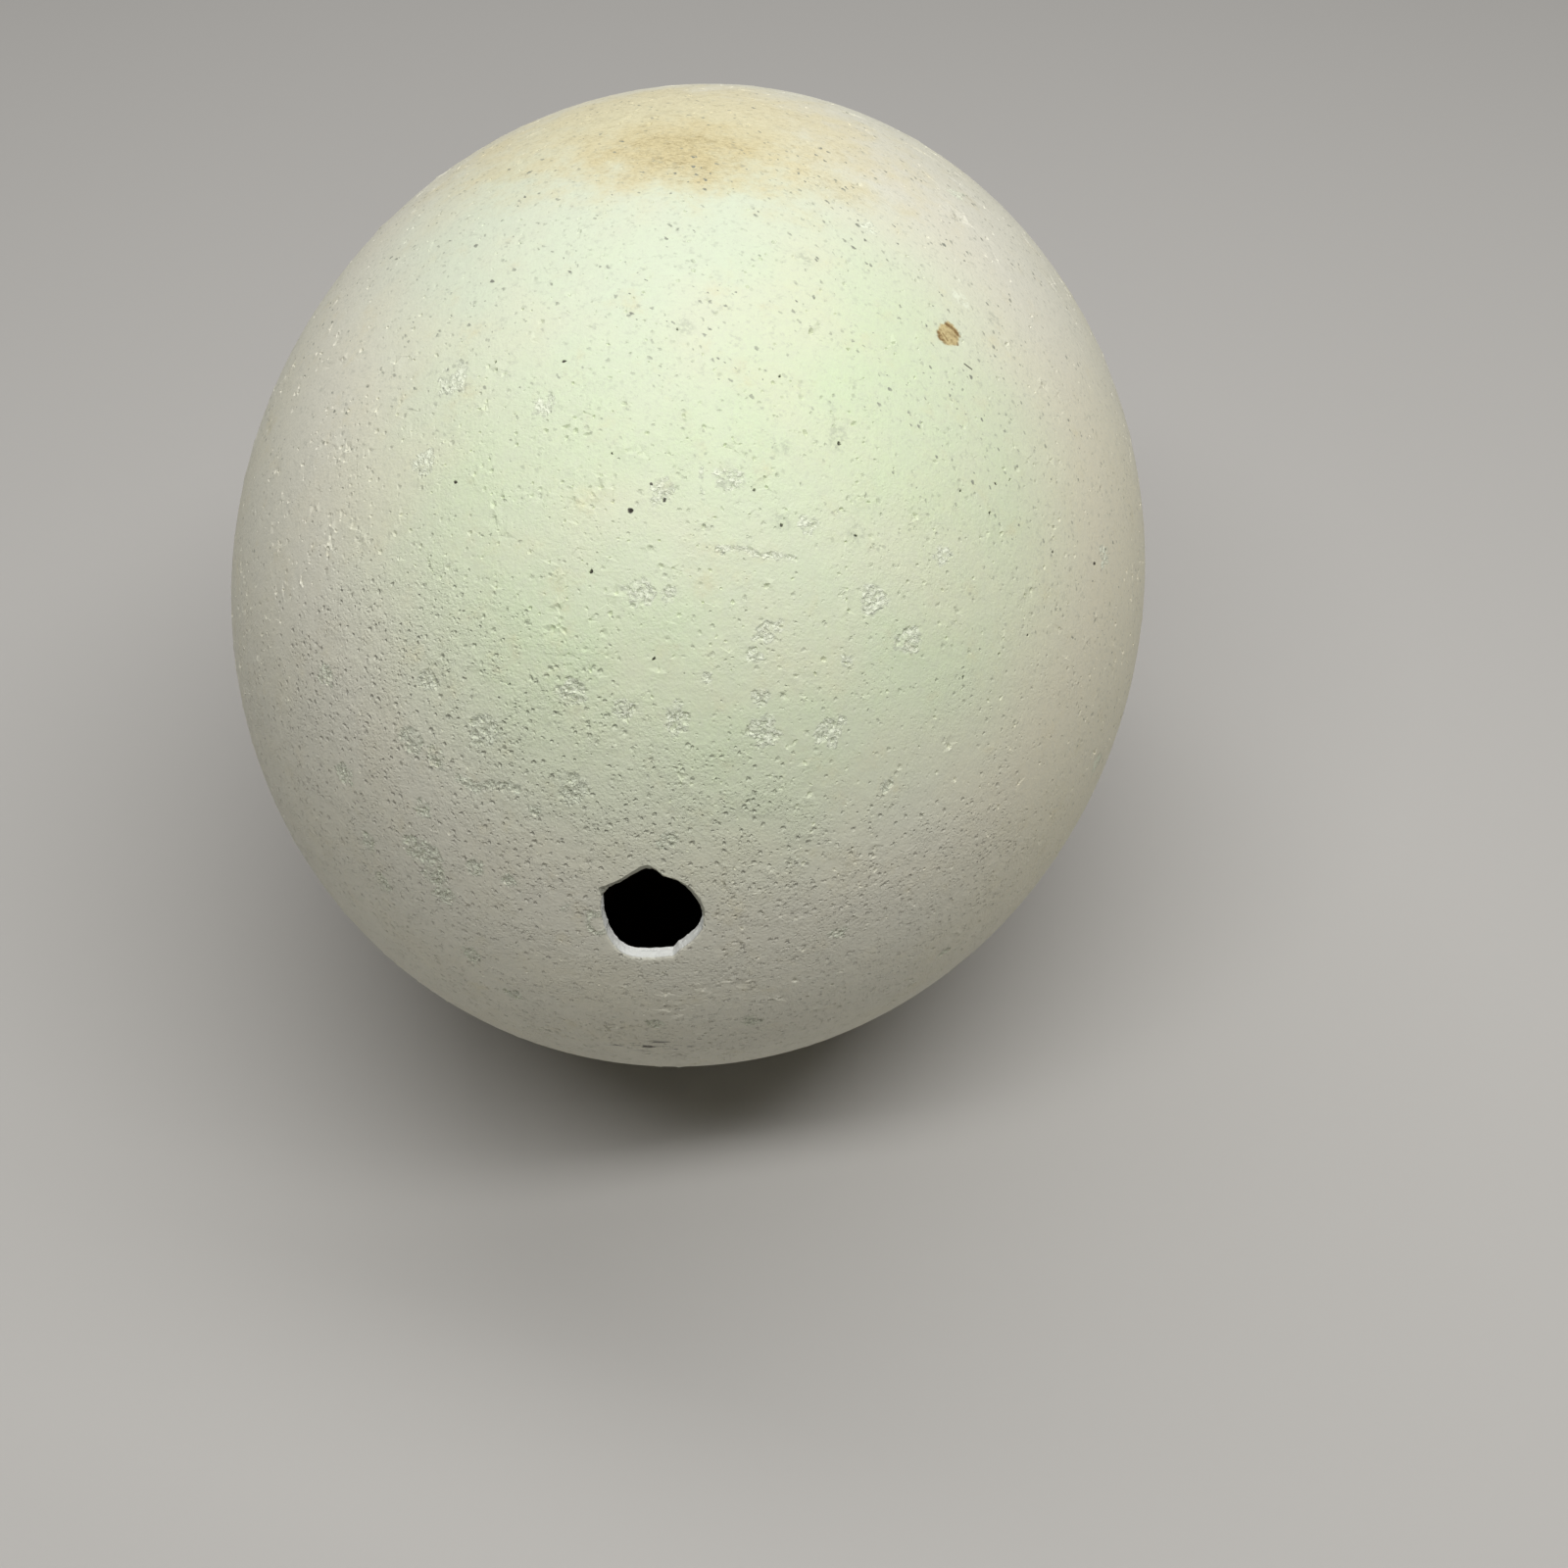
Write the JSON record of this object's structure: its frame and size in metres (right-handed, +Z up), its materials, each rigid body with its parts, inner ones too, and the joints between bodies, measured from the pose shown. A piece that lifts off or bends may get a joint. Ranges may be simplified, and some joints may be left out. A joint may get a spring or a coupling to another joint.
{
  "type": "blown ostrich egg",
  "caption": "Emptied ostrich egg: a hollow, pitted ivory eggshell lying on its side, with a hand-cut hole near the blunt end.",
  "frame": {"origin": "on the surface that the egg rests on, under the middle of its length and width", "axes": "+Y along the egg's long axis from the blunt end, where the hole is, to the pointed end; +Z up; +X to the right as seen from the blunt end"},
  "size_m": [0.127, 0.1524, 0.1267],
  "materials": {
    "eggshell": "satin ivory eggshell, pitted and slightly stained"
  },
  "bodies": {
    "root": {"eggshell": "eggshell"}
  },
  "joints": []
}
